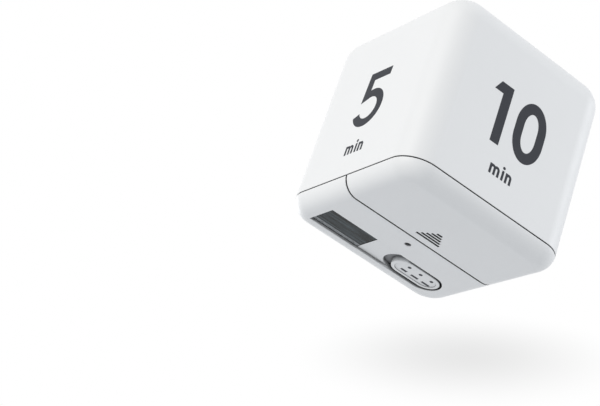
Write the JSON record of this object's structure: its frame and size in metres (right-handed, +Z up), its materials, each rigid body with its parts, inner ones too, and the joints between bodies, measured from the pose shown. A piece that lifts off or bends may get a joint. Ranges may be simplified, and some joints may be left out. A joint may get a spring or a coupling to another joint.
{
  "type": "cube timer",
  "caption": "Cube-shaped countdown timer that starts when stood on a numbered face, with a display, a slide switch and a sliding battery door in its underside.",
  "frame": {"origin": "centre of the footprint, on the surface the timer stands on", "axes": "+Z up from the underside to the bare top; the numbered faces 5, 10, 30 and 60 face -Y, +X, +Y and -X; the battery door is on the +X half of the underside"},
  "size_m": [0.06, 0.06, 0.0627],
  "materials": {
    "white_shell": "fine satin white moulding",
    "clear_window": "clear, glossy",
    "display_glass": "grey liquid crystal glass",
    "black_plastic": "black moulding",
    "grey_rubber": "soft elastomer",
    "board_green": "solder mask over laminate",
    "nickel": "nickel-plated steel",
    "cell_sleeve": "printed sleeve, plain",
    "red_wire": "insulated wire",
    "black_wire": "insulated wire"
  },
  "bodies": {
    "housing": {"upper_housing": "white_shell", "base_plate": "white_shell", "display_window": "clear_window", "display_panel": "display_glass", "display_frame": "black_plastic", "display_strip_a": "grey_rubber", "display_strip_b": "grey_rubber", "main_board": "board_green", "clock_chip": "black_plastic", "clock_crystal": "nickel", "buzzer": "black_plastic", "switch_body": "nickel", "tilt_can_a": "nickel", "tilt_cap_a": "black_plastic", "tilt_can_b": "nickel", "tilt_cap_b": "black_plastic", "cell_a": "cell_sleeve", "cell_b": "cell_sleeve", "contact_plus": "nickel", "contact_minus": "nickel", "contact_bridge": "nickel", "lead_plus": "red_wire", "lead_minus": "black_wire", "housing_screw_a": "nickel", "housing_screw_b": "nickel", "board_screw_a": "nickel", "board_screw_b": "nickel"},
    "battery_door": {"battery_door": "white_shell"},
    "switch_slider": {"switch_slider": "white_shell", "switch_lever": "black_plastic"},
    "tilt_ball_a": {"tilt_ball_a": "nickel"},
    "tilt_ball_b": {"tilt_ball_b": "nickel"}
  },
  "joints": [
    {"name": "door_slide", "type": "slide", "parent": "housing", "child": "battery_door", "axis": [1, 0, 0], "range_m": [0, 0.03]},
    {"name": "switch_slide", "type": "slide", "parent": "housing", "child": "switch_slider", "axis": [0, -1, 0], "range_m": [0, 0.0025]},
    {"name": "ball_a_roll", "type": "slide", "parent": "housing", "child": "tilt_ball_a", "axis": [0, 1, 0], "range_m": [0, 0.0026]},
    {"name": "ball_b_roll", "type": "slide", "parent": "housing", "child": "tilt_ball_b", "axis": [1, 0, 0], "range_m": [0, 0.0026]}
  ]
}
